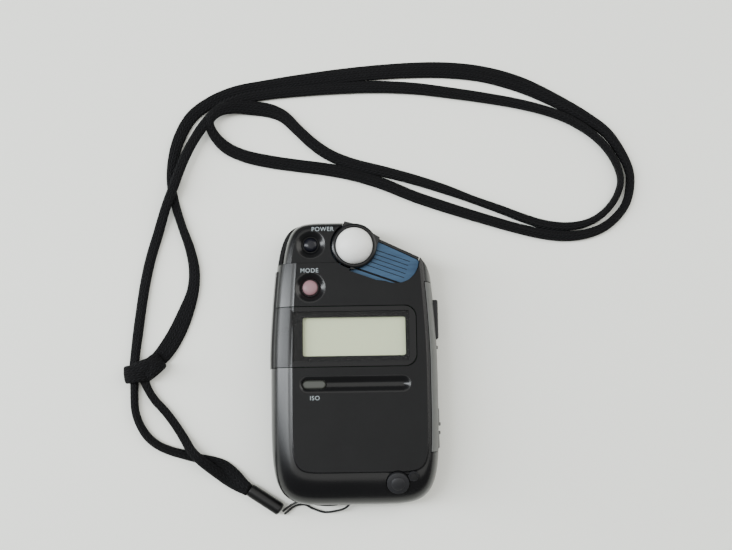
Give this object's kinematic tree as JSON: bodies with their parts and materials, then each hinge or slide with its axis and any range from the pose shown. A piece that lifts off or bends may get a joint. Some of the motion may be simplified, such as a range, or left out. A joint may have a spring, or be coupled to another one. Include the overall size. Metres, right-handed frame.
{
  "type": "handheld light meter",
  "caption": "Handheld incident light meter with a sliding white diffuser dome, a wide display, press keys, a capped sync socket and a braided neck strap.",
  "frame": {"origin": "on the resting face, under the middle of the case", "axes": "+X to the right of the front face, +Y along the case towards the diffuser dome, +Z out of the front face"},
  "size_m": [0.2064, 0.1828, 0.0226],
  "materials": {
    "satin_black": "satin moulded, fine grain",
    "gloss_black": "polished moulded",
    "grey_plastic": "satin moulded",
    "dark_rubber": "matt",
    "clear_window": "polished clear",
    "lcd": "grey green reflective display",
    "track_blue": "satin with fine ribs",
    "diffuser_white": "translucent milky",
    "navy_key": "polished",
    "pink_key": "satin",
    "grey_key": "satin",
    "chip_black": "moulded",
    "circuit_green": "solder mask",
    "steel": "plated",
    "brass": "nickel flashed",
    "white_insulator": "moulded",
    "label": "printed foil, left blank",
    "cell_skin": "plain sleeve",
    "strap_braid": "flat woven braid"
  },
  "bodies": {
    "case": {"rear_cover": "satin_black", "front_cover": "satin_black", "head_cover": "satin_black", "track_frame": "satin_black", "battery_holder": "satin_black", "display_bezel": "gloss_black", "side_strip_right": "grey_plastic", "side_strip_left": "grey_plastic", "sync_cap_tether": "dark_rubber", "display_connector": "dark_rubber", "strap_ferrule": "dark_rubber", "display_window": "clear_window", "sensor_window": "clear_window", "display_panel": "lcd", "slide_track": "track_blue", "light_sensor": "chip_black", "power_switch": "chip_black", "mode_switch": "chip_black", "iso_switch": "chip_black", "measuring_switch": "chip_black", "up_switch": "chip_black", "down_switch": "chip_black", "microcontroller": "chip_black", "main_circuit_board": "circuit_green", "side_switch_board": "circuit_green", "detent_spring": "steel", "positive_contact": "steel", "negative_spring": "steel", "tether_screw": "steel", "strap_pin": "steel", "case_screw_1": "steel", "case_screw_2": "steel", "case_screw_3": "steel", "case_screw_4": "steel", "sync_socket_shell": "brass", "sync_centre_contact": "brass", "sync_insulator": "white_insulator", "rating_plate": "label", "battery_cell": "cell_skin", "strap_knot": "strap_braid", "strap_run_a": "strap_braid", "strap_run_b": "strap_braid", "strap_loop": "strap_braid", "strap_string": "strap_braid"},
    "slide": {"dome_carriage": "satin_black", "diffuser_dome": "diffuser_white"},
    "power_key": {"power_button": "navy_key"},
    "mode_key": {"mode_button": "pink_key"},
    "iso_key": {"iso_button": "grey_key"},
    "measuring_key": {"measuring_button": "dark_rubber"},
    "up_side_key": {"up_key": "grey_plastic"},
    "down_side_key": {"down_key": "grey_plastic"},
    "battery_lid": {"battery_door": "satin_black"},
    "socket_cap": {"sync_cap": "dark_rubber"}
  },
  "joints": [
    {"name": "dome_slide", "type": "slide", "parent": "case", "child": "slide", "axis": [0.9397, -0.342, 0], "range_m": [0, 0.017]},
    {"name": "power_press", "type": "slide", "parent": "case", "child": "power_key", "axis": [0, 0, -1], "range_m": [0, 0.0007], "stiffness_N_per_m": 400},
    {"name": "mode_press", "type": "slide", "parent": "case", "child": "mode_key", "axis": [0, 0, -1], "range_m": [0, 0.0007], "stiffness_N_per_m": 400},
    {"name": "iso_press", "type": "slide", "parent": "case", "child": "iso_key", "axis": [0, 0, -1], "range_m": [0, 0.0007], "stiffness_N_per_m": 400},
    {"name": "measuring_press", "type": "slide", "parent": "case", "child": "measuring_key", "axis": [-1, 0, 0], "range_m": [0, 0.0007], "stiffness_N_per_m": 400},
    {"name": "up_press", "type": "slide", "parent": "case", "child": "up_side_key", "axis": [-1, 0, 0], "range_m": [0, 0.0007], "stiffness_N_per_m": 400},
    {"name": "down_press", "type": "slide", "parent": "case", "child": "down_side_key", "axis": [-1, 0, 0], "range_m": [0, 0.0007], "stiffness_N_per_m": 400},
    {"name": "battery_door_slide", "type": "slide", "parent": "case", "child": "battery_lid", "axis": [-1, 0, 0], "range_m": [0, 0.008]},
    {"name": "sync_cap_pull", "type": "slide", "parent": "case", "child": "socket_cap", "axis": [0, -0.2924, 0.9563], "range_m": [0, 0.005]}
  ]
}
